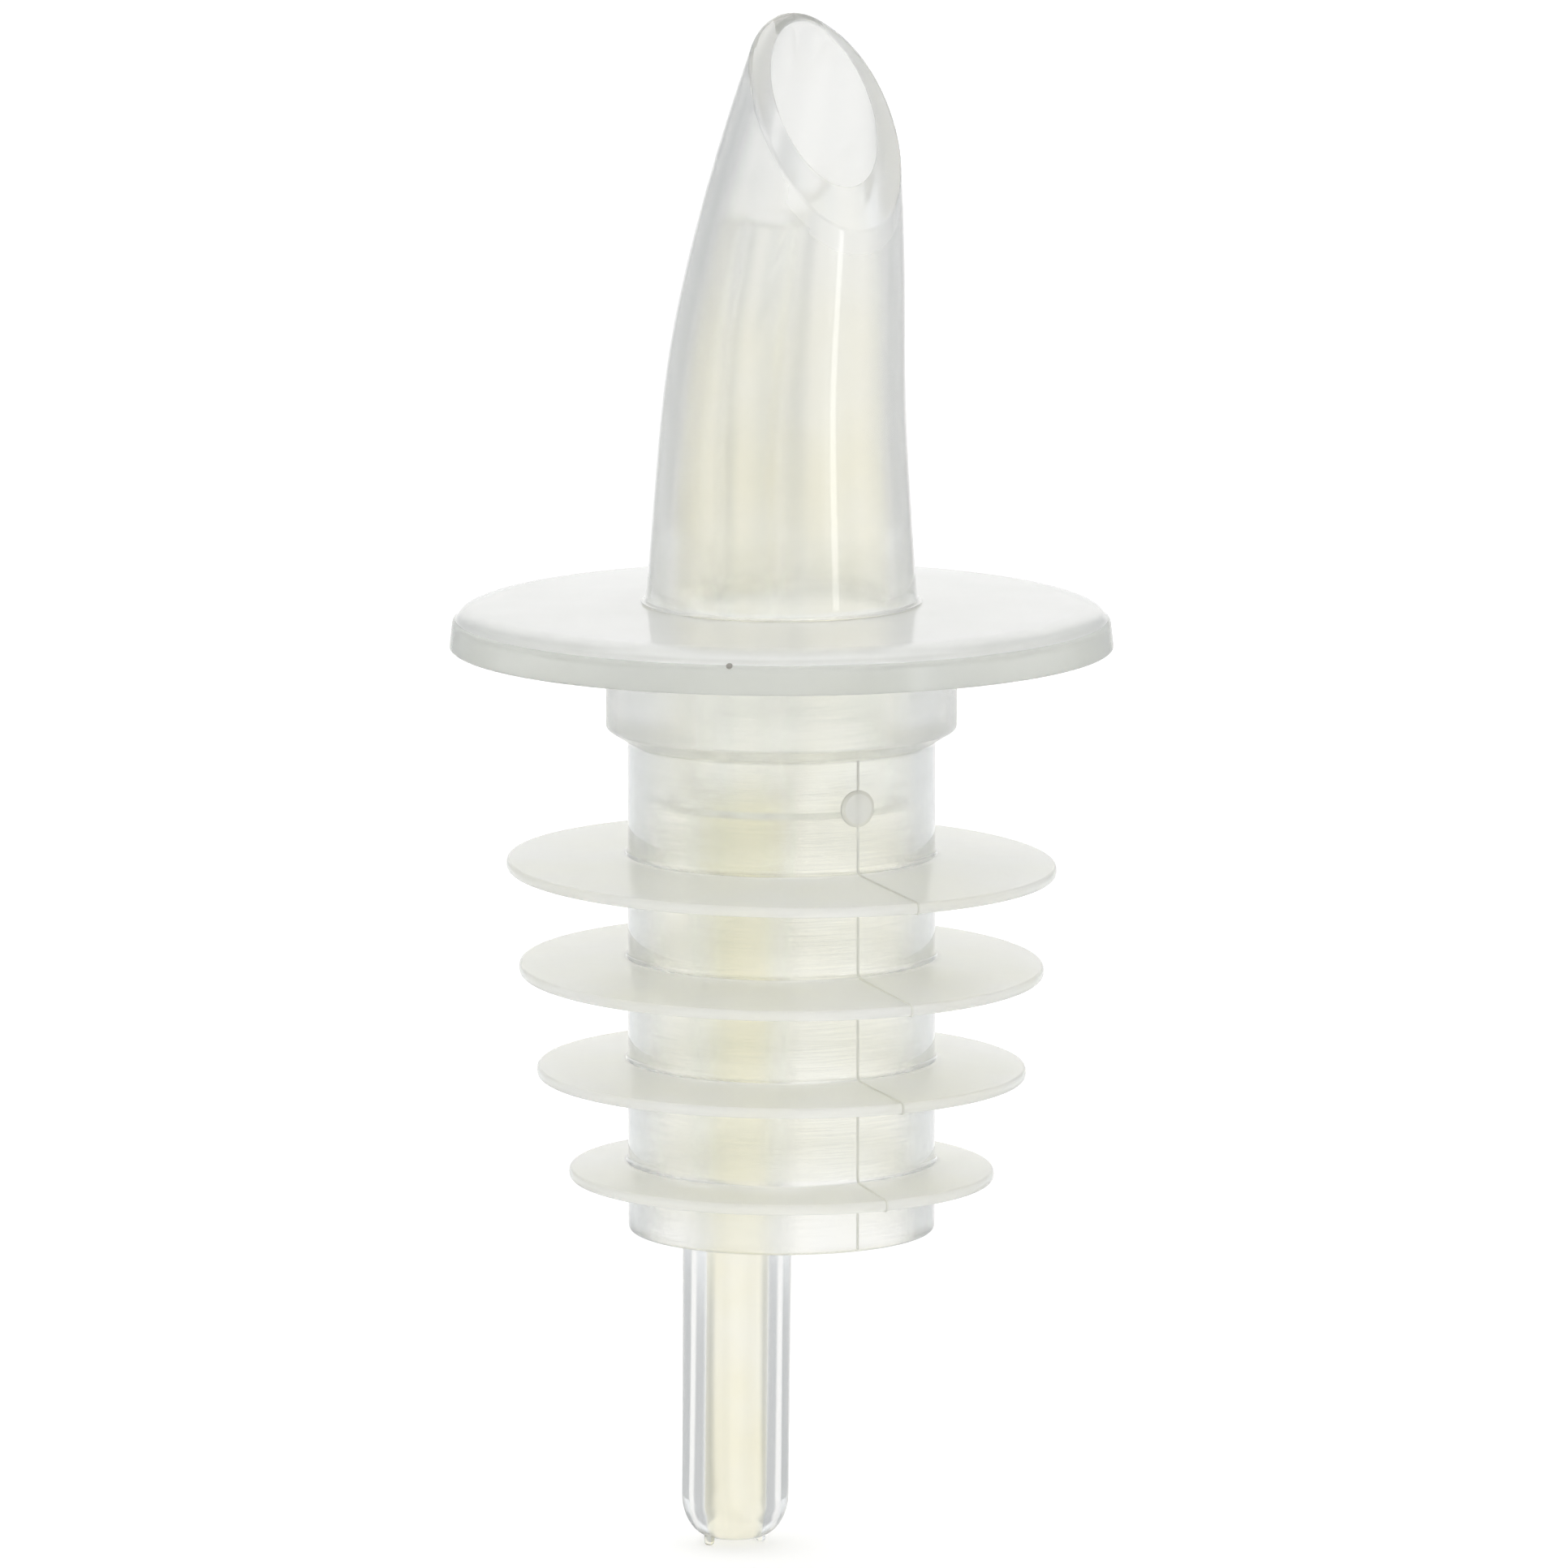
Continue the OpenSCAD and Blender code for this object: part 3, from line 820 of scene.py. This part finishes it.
    def foot_line(self, degrees, bottom):
        """Up the sleeve and over the foot."""
        flat = Vector((cos(radians(degrees)), sin(radians(degrees)), 0))
        foot_r = self.s.root_d / 2 + self.FOOT_SPREAD
        base = CROWN + CONTACT_GAP
        low = CROWN + self.FOOT_EDGE
        pairs = [(SLEEVE_R - self.SLEEVE_LEAD, bottom), (SLEEVE_R, bottom + self.SLEEVE_LEAD)]
        pairs += [(SLEEVE_R, bottom + (base - bottom) * t) for t in self.SLEEVE_ROWS]
        pairs += [(foot_r - self.FOOT_EDGE / 2, base), (foot_r, base + self.FOOT_EDGE / 2)]
        for turn in spread(*self.FOOT_TURN, self.FOOT_ROWS):
            a = radians(turn)
            pairs.append((foot_r + self.FOOT_SPREAD * cos(a), low + self.FOOT_SPREAD * (1 + sin(a))))
        return [flat * r + Vector((0, 0, z)) for r, z in pairs]

    def beak_line(self, degrees, bottom):
        """Up the beak, round the rim of the mouth and down the passage."""
        s = self.s
        edge = self.mouth_level(lambda h: self.outer(h, degrees), 0)
        lip = self.mouth_level(lambda h: self.inner(h, degrees, False), s.lip_rise)
        corner = self.outer(edge, degrees)
        rim_in = self.inner(lip, degrees, False)
        width = (rim_in - corner).length
        across = (rim_in - corner).normalized()
        down = (self.outer(edge - s.rim_round, degrees) - corner).normalized()
        half = down.angle(across) / 2
        reach = min(s.rim_round / tan(half), self.RIM_SHARE * width)
        top = edge + down.z * reach
        start = self.FOOT_EDGE + self.FOOT_SPREAD
        line = [self.outer(h, degrees) for h in spread(start, top, self.OUTER_ROWS, 1)]
        flat_start = corner + across * reach
        line += bend(self.outer(top, degrees), corner, flat_start, self.RIM_ROWS, sin(half))[1:]
        flat_end = rim_in - across * min(s.bore_round, width * self.BORE_SHARE)
        line += [flat_start.lerp(flat_end, t) for t in self.RIM_FLAT_ROWS]
        high = lip - s.bore_round
        line += bend(flat_end, rim_in, self.inner(high, degrees, False), self.BORE_EDGE_ROWS)
        above_vent = spread(high, s.air_vent + self.VENT_STEP, self.MOUTH_ROWS, 1)
        line += [self.inner(h, degrees, False) for h in above_vent]
        below_vent = spread(s.air_vent - self.VENT_STEP, bottom - CROWN, self.PASSAGE_ROWS)
        line += [self.inner(h, degrees, True) for h in below_vent]
        return line

    def nipple(self, bottom):
        """The nipple that the air tube is pushed on."""
        low = bottom - self.NIPPLE_LENGTH
        lead = self.NIPPLE_LEAD
        levels = ((NIPPLE_R - lead, low), (NIPPLE_R, low + lead), (NIPPLE_R, bottom + self.NIPPLE_OVERLAP))
        return capped_loft("nipple", [circle(-self.s.air_offset, 0, z, r, self.SIDES) for r, z in levels])

    def air_channel(self):
        """What is cut away for the air, from below the nipple to above the vent."""
        r = self.s.air_bore_d / 2
        bottom = TUBE_HIGH.z - self.CHANNEL_DROP - CROWN
        levels = spread(bottom, self.s.air_vent + self.VENT_RISE, self.CHANNEL_ROWS)
        rings = [circle(self.air_x(h), 0, CROWN + h, r, self.SIDES) for h in levels]
        return capped_loft("air channel", rings)


class POURSPOUT_OT_collar(bpy.types.Operator):
    """Make the collar with its rounded shoulder and skirt"""

    bl_idname = "pour_spout.collar"
    bl_label = "Make Collar"

    STEPS = 224
    RECESS_R = 8.6 * MM
    RECESS_TOP = 0.35 * MM
    SEAT_IN = 0.85 * MM
    SKIRT_DRAFT = 0.15 * MM
    SKIRT_TOP = 0.3 * MM
    SHOULDER_IN = 0.4 * MM
    SHOULDER_START = 8
    SHOULDER_ROWS = 12
    CROWN_FLAT = 6.9 * MM
    SPECK_ANGLE = radians(-46)
    SPECK_R = 0.17 * MM
    SPECK_HEIGHT = 0.06 * MM

    def execute(self, context):
        s = context.scene.pour_spout_collar
        finishes = plastics(context.scene.pour_spout_look)
        corners = [
            (SOCKET_R, self.RECESS_TOP, EDGE_ROUND),
            (self.RECESS_R, self.RECESS_TOP, EDGE_ROUND),
            (self.RECESS_R, 0, CRISP_ROUND),
            (s.rim_r - self.SEAT_IN, 0, SEAT_ROUND),
            (s.rim_r - s.skirt_edge, -s.skirt, EDGE_ROUND),
            (s.rim_r, -s.skirt, EDGE_ROUND),
            (s.rim_r - self.SKIRT_DRAFT, self.SKIRT_TOP, DRAFT_ROUND),
        ]
        middle = s.rim_r - self.SHOULDER_IN - s.shoulder_width
        foot = s.top - s.shoulder_height
        for turn in spread(self.SHOULDER_START, 90, self.SHOULDER_ROWS):
            a = radians(turn)
            corners.append((middle + s.shoulder_width * cos(a), foot + s.shoulder_height * sin(a), 0))
        corners += [(self.CROWN_FLAT, s.crown, ROOT_ROUND), (SOCKET_R, s.crown, CRISP_ROUND)]
        finish = finishes["Collar"]
        piece = turned_piece("collar_shell", rounded_outline(corners), self.STEPS, (0, 0, 0), finish)
        # Painted shade: faces below the shoulder's foot take the darker skirt tint
        wear(piece, finish, (finishes["Collar edge"], lambda face: face.center.z < foot))
        finish_piece(piece, "collar", "collar")

        out = Vector((cos(self.SPECK_ANGLE), sin(self.SPECK_ANGLE), 0))
        edge = (s.rim_r - self.SKIRT_DRAFT + middle + s.shoulder_width) / 2
        speck = button("collar_gate_speck", out * edge + Vector((0, 0, (self.SKIRT_TOP + foot) / 2)),
                       out + Vector((0, 0, 1)), self.SPECK_R, self.SPECK_HEIGHT, finishes["Speck"])
        finish_piece(speck, "collar")
        return {"FINISHED"}


class POURSPOUT_OT_stopper(bpy.types.Operator):
    """Make the finned stopper with its parting line and gate mark"""

    bl_idname = "pour_spout.stopper"
    bl_label = "Make Stopper"

    STEPS = 200
    FIN_R = (13.3 * MM, 12.7 * MM, 11.85 * MM, 10.3 * MM)
    HUB_UNDERCUT = 0.62 * MM
    SOCKET_LEAD = 0.3 * MM
    # A fin's edge in shares of half its thickness: how far its ridge stands out, and its roundings
    RIDGE = 0.3
    RIDGE_ROUND = 0.5
    SHOULDER_ROUND = 0.8
    # How far each soft fin hangs down at its edge, and the direction in degrees that it hangs in
    FIN_SAG = ((0.24 * MM, 17), (0.25 * MM, -13), (0.11 * MM, 4), (0.085 * MM, 12))
    SAG_ZONE = 1.5 * MM
    FIN_FILLET = 0.1 * MM
    GATE_HEIGHT = 0.12 * MM
    # Faces of the gate's mark that lean away further than this cosine make its darker ring
    GATE_RING = 0.97

    def sag(self, piece, s):
        """Bends each soft fin a little out of true."""
        for vertex in piece.data.vertices:
            x, y, z = vertex.co
            index = round((-s.first_fin - z) / s.fin_pitch)
            if not 0 <= index < len(self.FIN_R) or abs(z + s.first_fin + index * s.fin_pitch) > self.SAG_ZONE:
                continue
            out = max(0, hypot(x, y) - s.tube_r) / (self.FIN_R[index] - s.tube_r)
            depth, degrees = self.FIN_SAG[index]
            vertex.co.z -= depth * out * cos(atan2(y, x) - radians(degrees))

    def within(self, radius):
        """A test for faces that lie inside a radius, with a little to spare."""
        return lambda face: hypot(face.center.x, face.center.y) < radius + self.FIN_FILLET

    def outer_corners(self, s, top, below_hub):
        """Corners of the outside, from the top of the hub to the end of the tube."""
        corners = [(s.hub_r, top, TUBE_ROUND), (s.hub_r, -s.hub_depth, HUB_ROUND),
                   (s.tube_r, below_hub, TUBE_ROUND)]
        half = s.fin_edge / 2
        for i, r in enumerate(self.FIN_R):
            z = -s.first_fin - i * s.fin_pitch
            corners += [
                (s.tube_r, z + half + s.fin_root, ROOT_ROUND),
                (r - half * self.RIDGE, z + half, half * self.SHOULDER_ROUND),
                (r, z, half * self.RIDGE_ROUND),
                (r - half * self.RIDGE, z - half, half * self.SHOULDER_ROUND),
                (s.tube_r, z - half, TUBE_ROUND),
            ]
        corners.append((s.tube_r, STOPPER_LOW.z, ROOT_ROUND))
        return corners

    def execute(self, context):
        s = context.scene.pour_spout_stopper
        finishes = plastics(context.scene.pour_spout_look)
        finish = finishes["Stopper"]
        top = STOPPER_HIGH.z - CONTACT_GAP
        below_hub = -s.hub_depth - self.HUB_UNDERCUT
        outer = self.outer_corners(s, top, below_hub)
        bore = [(SOCKET_R, STOPPER_LOW.z, SEAT_ROUND), (SOCKET_R, top - self.SOCKET_LEAD, SEAT_ROUND),
                (SOCKET_R + self.SOCKET_LEAD, top, CRISP_ROUND)]
        piece = turned_piece("stopper_shell", rounded_outline(bore + outer), self.STEPS, (0, 0, 0), finish)
        self.sag(piece, s)
        wear(piece, finish, (finishes["Stopper bore"], self.within(SOCKET_R)),
             (finishes["Hub"], lambda face: face.center.z > below_hub),
             (finishes["Stopper wall"], self.within(s.tube_r)))
        finish_piece(piece, "stopper", "stopper")

        # The parting line ends before the outline turns in under the tube
        path = [p for p in rounded_outline(outer)[:-2] if p.y < below_hub]
        seam = path_object("stopper_mould_seam", path, False)
        run_tree(seam, seam_tree(), {"Width": s.seam_width, "Angle": s.seam_angle, "Halves": 2,
                                     "Finish": finishes["Seam"]})
        self.sag(seam, s)
        wear(seam, finishes["Faint seam"], (finishes["Seam"], lambda face: face.center.z > -s.first_fin))
        finish_piece(seam, "stopper")

        out = Vector((cos(s.seam_angle), sin(s.seam_angle), 0))
        gate = button("stopper_gate_mark", out * s.tube_r + Vector((0, 0, -s.gate_depth)), out,
                      s.gate_d / 2, self.GATE_HEIGHT, finish)
        wear(gate, finish, (finishes["Seam"], lambda face: face.normal.dot(out) < self.GATE_RING))
        finish_piece(gate, "stopper")
        return {"FINISHED"}


class POURSPOUT_OT_air_tube(bpy.types.Operator):
    """Make the push-on air tube with its rounded tip"""

    bl_idname = "pour_spout.air_tube"
    bl_label = "Make Air Tube"

    STEPS = 128
    TIP_NECK = 1.5 * MM
    NUB_R = 0.25 * MM
    NUB_RING = 1.35 * MM
    NUB_SINK = 0.3 * MM
    NUB_ANGLES = (76, 256)
    # A nub's rounded end, in shares of its radius and length
    NUB_END = ((0.5, 0), (0.85, 0.12), (1, 0.35))
    NUB_SIDES = 20
    TIP_ROWS = 12

    def execute(self, context):
        s = context.scene.pour_spout_air_tube
        finishes = plastics(context.scene.pour_spout_look)
        finish = finishes["Air tube"]
        tip = TUBE_LOW.z + s.nub_length
        top = TUBE_HIGH.z - CONTACT_GAP
        socket_end = top - s.socket_depth
        axis = Vector(((TUBE_LOW.x + TUBE_HIGH.x) / 2, 0, 0))
        corners = [(TUBE_SOCKET_R, socket_end, SEAT_ROUND), (TUBE_SOCKET_R, top, SEAT_ROUND),
                   (s.top_r, top, DRAFT_ROUND), (s.tip_r, tip + s.tip_round, 0)]
        for a in spread(0, pi / 2, self.TIP_ROWS, 1)[:-1]:
            corners.append((s.hole_r + (s.tip_r - s.hole_r) * cos(a), tip + s.tip_round * (1 - sin(a)), 0))
        corners += [(s.hole_r, tip, HOLE_ROUND), (s.bore_r, tip + self.TIP_NECK, TUBE_ROUND),
                    (s.bore_r, socket_end, SEAT_ROUND)]
        piece = turned_piece("air_tube_shell", rounded_outline(corners), self.STEPS, axis, finish)
        for degrees in self.NUB_ANGLES:
            join_solid(piece, self.nub(axis, degrees, tip, s.nub_length), "UNION")
        self.lean(piece, s, socket_end)
        wear(piece, finish,
             (finishes["Air tube bore"], lambda face: (face.center - axis).xy.dot(face.normal.xy) < 0))
        finish_piece(piece, "spout", "air_tube")
        return {"FINISHED"}

    def nub(self, axis, degrees, tip, length):
        """One moulding nub with a rounded end."""
        a = radians(degrees)
        middle = axis + Vector((cos(a), sin(a), 0)) * self.NUB_RING
        low = tip - length + CONTACT_GAP
        levels = [(r, low + length * rise) for r, rise in self.NUB_END] + [(1, tip + self.NUB_SINK)]
        rings = [circle(middle.x, middle.y, z, r * self.NUB_R, self.NUB_SIDES) for r, z in levels]
        return capped_loft("nub", rings)

    def lean(self, piece, s, seat):
        """Lets the tube hang a little out of upright below the nipple."""
        way = Vector((cos(s.lean_way), sin(s.lean_way), 0))
        for vertex in piece.data.vertices:
            vertex.co += way * (max(0, seat - vertex.co.z) * tan(s.lean))


class POURSPOUT_OT_stage(bpy.types.Operator):
    """Set the floor, cards, lamps, surroundings and camera"""

    bl_idname = "pour_spout.stage"
    bl_label = "Set Stage"

    # Number of panels and cards, and their edges as cosines of so many times the angle round the axis
    LOBES = 4
    CARD_EDGE = -0.5
    PANEL_EDGE = 0.5
    # Where the pale cards are, along the floor and up the tent, and what a step along the floor counts
    PALE_START = 60 * MM
    PALE_MIDDLE = 30 * MM
    PALE_REACH = 12 * MM
    FLOOR_STEP = 0.4
    # The cards are faintly blue
    CARD_CAST = (0.97, 1, 1.03)
    FLOOR_SIDE = 6.0
    PAPER = (0.86, 0.86, 0.86, 1)
    PAPER_GLOW = 0.3
    TENT_R = 0.11
    TENT_HEIGHT = 0.2
    TENT_SIDES = 96
    TENT_LIFT = 0.5 * MM
    # Each lamp's place towards the camera, to its right and up, its width and height, and its watts
    LAMPS = {
        "left softbox": ((0.35, -0.55, 0.4), (0.4, 0.6), 0.2),
        "right strip": ((0.07, 0.072, 0.004), (0.01, 0.024), 0.0023),
        "top softbox": ((-0.1, 0, 0.9), (0.8, 0.8), 1.6),
    }

    def execute(self, context):
        look = context.scene.pour_spout_stage
        towards = Vector((cos(look.view_azimuth), sin(look.view_azimuth), 0))
        right = Vector((-towards.y, towards.x, 0))
        self.cards = self.cards_group(look)
        self.floor(look)
        self.tent(look)
        self.surroundings(context, look)
        self.lamps(towards, right)
        self.camera(context, look, towards, right)
        context.scene.view_settings.view_transform = "Standard"
        self.light_paths(context.scene.cycles)
        return {"FINISHED"}

    def light_paths(self, cycles):
        """Lets light cross the many thin walls of clear plastic without loss."""
        cycles.max_bounces = 96
        cycles.transmission_bounces = 96
        cycles.glossy_bounces = 48
        cycles.diffuse_bounces = 12
        cycles.blur_glossy = 0

    def cards_group(self, look):
        """Shader group for what stands round the object: white panels with grey cards between them."""
        tree, bench, given, result = new_tree(
            "Panels and cards", "ShaderNodeTree",
            {"Card Color": "Color", "Pale Card Color": "Color"}, {"Color": "Color"},
        )
        place = bench.add("ShaderNodeTexCoord").outputs["Object"]
        x, y, z = bench.add("ShaderNodeSeparateXYZ", {0: place}).outputs
        squares = bench.math("ADD", bench.math("MULTIPLY", x, x), bench.math("MULTIPLY", y, y))
        out = bench.math("SQRT", squares)
        climb = bench.math("SUBTRACT", z, CAD_BOX[0][2])
        level = bench.math("MULTIPLY", bench.math("SUBTRACT", out, self.PALE_START), self.FLOOR_STEP)
        along = bench.math("ADD", level, climb)
        off = bench.math("ABSOLUTE", bench.math("SUBTRACT", along, self.PALE_MIDDLE))
        grey = bench.ramp(off, self.PALE_REACH, self.PALE_REACH * 2)
        card = bench.mix(grey, given["Pale Card Color"], given["Card Color"])
        around = bench.math("SUBTRACT", bench.math("ARCTAN2", y, x), look.view_azimuth)
        wave = bench.math("COSINE", bench.math("MULTIPLY", around, self.LOBES))
        panel = bench.ramp(wave, self.CARD_EDGE, self.PANEL_EDGE)
        bench.feed(result["Color"], bench.mix(panel, card, (1, 1, 1, 1)))
        return tree

    def cards_glow(self, bench, look):
        """Emission of the panels and cards."""
        levels = {"Card Color": look.card, "Pale Card Color": look.pale_card}
        colors = {label: (*(level * cast for cast in self.CARD_CAST), 1) for label, level in levels.items()}
        color = bench.out("ShaderNodeGroup", colors, node_tree=self.cards)
        return bench.out("ShaderNodeEmission", {"Color": color})

    def stage_piece(self, name, points, faces):
        """A piece of the stage with an empty material, and a bench for its nodes."""
        piece = mesh_object(name, points, [], faces)
        material = bpy.data.materials.new(name.title())
        material.use_nodes = True
        material.node_tree.nodes.clear()
        piece.data.materials.append(material)
        return piece, NodeBench(material.node_tree)

    def floor(self, look):
        """White paper that keeps the shadow; through and in the plastic it shows as panels and cards."""
        side = self.FLOOR_SIDE
        square = ((-side, -side), (side, -side), (side, side), (-side, side))
        corners = [(x, y, CAD_BOX[0][2]) for x, y in square]
        _, bench = self.stage_piece("floor", corners, [(0, 1, 2, 3)])
        path = bench.add("ShaderNodeLightPath").outputs
        paper = bench.out("ShaderNodeBsdfDiffuse", {"Color": self.PAPER})
        strength = bench.math("MULTIPLY", path["Is Camera Ray"], self.PAPER_GLOW)
        glow = bench.out("ShaderNodeEmission", {"Strength": strength})
        both = bench.out("ShaderNodeAddShader", {0: paper, 1: glow})
        in_plastic = bench.math("MAXIMUM", path["Is Glossy Ray"], path["Is Transmission Ray"])
        seen = bench.out("ShaderNodeMixShader", {0: in_plastic, 1: both, 2: self.cards_glow(bench, look)})
        bench.add("ShaderNodeOutputMaterial", {"Surface": seen})

    def tent(self, look):
        """A ring of white panels with grey cards between them, seen only through and in the plastic."""
        low = CAD_BOX[0][2] + self.TENT_LIFT
        points = [p for z in (low, low + self.TENT_HEIGHT)
                  for p in circle(0, 0, z, self.TENT_R, self.TENT_SIDES)]
        tent, bench = self.stage_piece("tent", points, ring_faces(2, self.TENT_SIDES, False))
        tent.visible_camera = tent.visible_diffuse = tent.visible_shadow = tent.visible_volume_scatter = False
        bench.add("ShaderNodeOutputMaterial", {"Surface": self.cards_glow(bench, look)})

    def surroundings(self, context, look):
        """A white room that is a little darker where the camera doesn't look at it."""
        world = bpy.data.worlds.new("Studio")
        world.use_nodes = True
        bench = NodeBench(world.node_tree)
        back = world.node_tree.nodes["Background"].inputs
        bench.feed(back["Color"], (1, 1, 1, 1))
        camera = bench.add("ShaderNodeLightPath").outputs["Is Camera Ray"]
        lift = bench.math("MULTIPLY", camera, 1 - look.room)
        bench.feed(back["Strength"], bench.math("ADD", lift, look.room))
        context.scene.world = world

    def lamps(self, towards, right):
        """Soft boxes on the left and overhead, and a strip inside the tent for the upright highlight."""
        for name, ((ahead, aside, above), (width, height), watts) in self.LAMPS.items():
            data = bpy.data.lights.new(name, "AREA")
            data.shape = "RECTANGLE"
            data.size = width
            data.size_y = height
            data.energy = watts
            lamp = placed(name, data)
            lamp.location = towards * ahead + right * aside + Vector((0, 0, above))
            lamp.rotation_euler = (-lamp.location).to_track_quat("-Z", "Y").to_euler()

    def camera(self, context, look, towards, right):
        """The camera of the photo."""
        data = bpy.data.cameras.new("Photo view")
        data.lens = look.lens
        data.sensor_width = 36
        data.clip_start = 0.01
        data.clip_end = 100
        camera = placed("Photo view", data)
        target = Vector((0, 0, look.target_z)) + right * look.target_side
        aim = towards * cos(look.view_height) + Vector((0, 0, sin(look.view_height)))
        camera.location = target + aim * look.distance
        camera.rotation_euler = aim.to_track_quat("Z", "Y").to_euler()
        context.scene.camera = camera


class POURSPOUT_PT_panel(bpy.types.Panel):
    """Lists the pieces of the pour spout and the stage"""

    bl_idname = "POURSPOUT_PT_panel"
    bl_label = "Pour Spout"
    bl_space_type = "VIEW_3D"
    bl_region_type = "UI"
    bl_category = "Pour Spout"

    def draw(self, context):
        for operator in OPERATORS:
            self.layout.operator(operator.bl_idname)
        for name in SETTINGS:
            box = self.layout.box()
            group = getattr(context.scene, name)
            for key in group.bl_rna.properties.keys():
                if key not in ("rna_type", "name"):
                    box.prop(group, key)


SETTINGS = {
    "pour_spout_sizes": SpoutSizes,
    "pour_spout_collar": CollarSizes,
    "pour_spout_stopper": StopperSizes,
    "pour_spout_air_tube": AirTubeSizes,
    "pour_spout_look": PlasticLook,
    "pour_spout_stage": StageLook,
}
OPERATORS = (
    POURSPOUT_OT_spout,
    POURSPOUT_OT_collar,
    POURSPOUT_OT_stopper,
    POURSPOUT_OT_air_tube,
    POURSPOUT_OT_stage,
)


def register():
    for group in SETTINGS.values():
        bpy.utils.register_class(group)
    for operator in OPERATORS:
        bpy.utils.register_class(operator)
    bpy.utils.register_class(POURSPOUT_PT_panel)
    for name, group in SETTINGS.items():
        setattr(bpy.types.Scene, name, PointerProperty(type=group))


def unregister():
    for name in SETTINGS:
        delattr(bpy.types.Scene, name)
    bpy.utils.unregister_class(POURSPOUT_PT_panel)
    for operator in reversed(OPERATORS):
        bpy.utils.unregister_class(operator)
    for group in SETTINGS.values():
        bpy.utils.unregister_class(group)


def main():
    register()
    bpy.ops.pour_spout.spout()
    bpy.ops.pour_spout.collar()
    bpy.ops.pour_spout.stopper()
    bpy.ops.pour_spout.air_tube()
    bpy.ops.pour_spout.stage()


if __name__ == "__main__":
    main()
